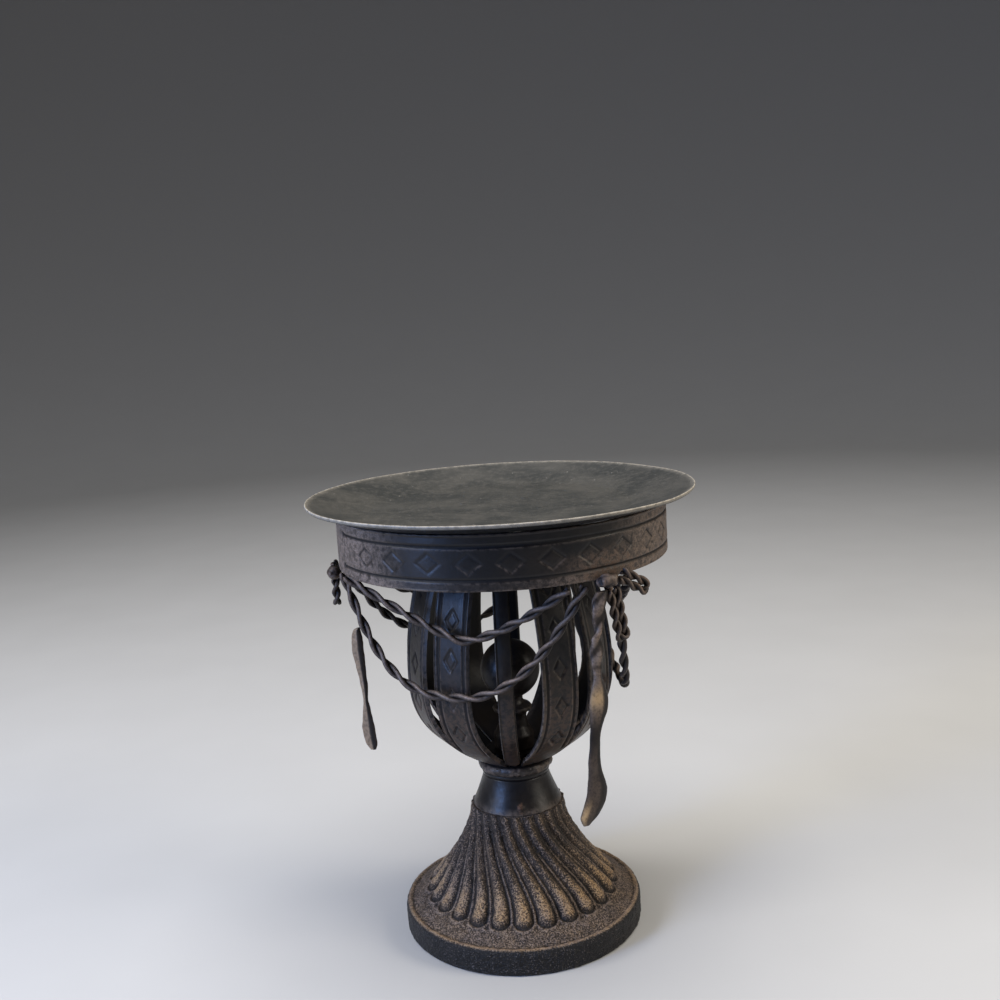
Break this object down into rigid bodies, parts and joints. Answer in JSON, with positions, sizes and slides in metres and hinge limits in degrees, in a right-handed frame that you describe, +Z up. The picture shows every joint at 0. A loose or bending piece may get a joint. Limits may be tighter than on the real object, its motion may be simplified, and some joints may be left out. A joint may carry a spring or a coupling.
{
  "type": "torchere candle stand",
  "caption": "Small iron candle stand: swirl-fluted cast foot, cage of bent flat bars, shallow dish with a stamped hoop, and twisted-wire garlands with bows and tails.",
  "frame": {"origin": "centre of the foot's underside, on the surface that the stand rests on", "axes": "+Z up along the stand's axis; -Y towards the side the picture was taken from; +X to the right of it"},
  "size_m": [0.1364, 0.1364, 0.161],
  "materials": {
    "cast_foot": "gritty dark brown casting with dry-brushed bronze highlights",
    "black_steel": "worn satin black",
    "dish_steel": "satin grey-green with a rubbed rim",
    "wire_iron": "dark brown with rubbed highlights",
    "fixing_steel": "plain zinc"
  },
  "bodies": {
    "root": {"foot_casting": "cast_foot", "neck_ferrule": "black_steel", "collar_ring": "black_steel", "tie_bolt": "fixing_steel", "foot_washer": "fixing_steel", "hub_washer": "fixing_steel", "hub_nut": "fixing_steel", "wide_strap_1": "black_steel", "wide_strap_2": "black_steel", "wide_strap_3": "black_steel", "wide_strap_4": "black_steel", "wide_strap_5": "black_steel", "wide_strap_6": "black_steel", "wide_strap_7": "black_steel", "wide_strap_8": "black_steel", "narrow_strap_1": "black_steel", "narrow_strap_2": "black_steel", "narrow_strap_3": "black_steel", "narrow_strap_4": "black_steel", "cage_cap": "black_steel", "cage_rivets": "dish_steel", "pan": "dish_steel", "hoop": "black_steel", "garland_front_upper": "wire_iron", "garland_front_lower": "wire_iron", "garland_right_upper": "wire_iron", "garland_right_lower": "wire_iron", "garland_left_upper": "wire_iron", "garland_left_lower": "wire_iron", "bow_left_wires": "wire_iron", "bow_right_wires": "wire_iron", "bow_back_wires": "wire_iron", "tail_left": "wire_iron", "tail_right": "wire_iron", "tail_back": "wire_iron"}
  },
  "joints": []
}
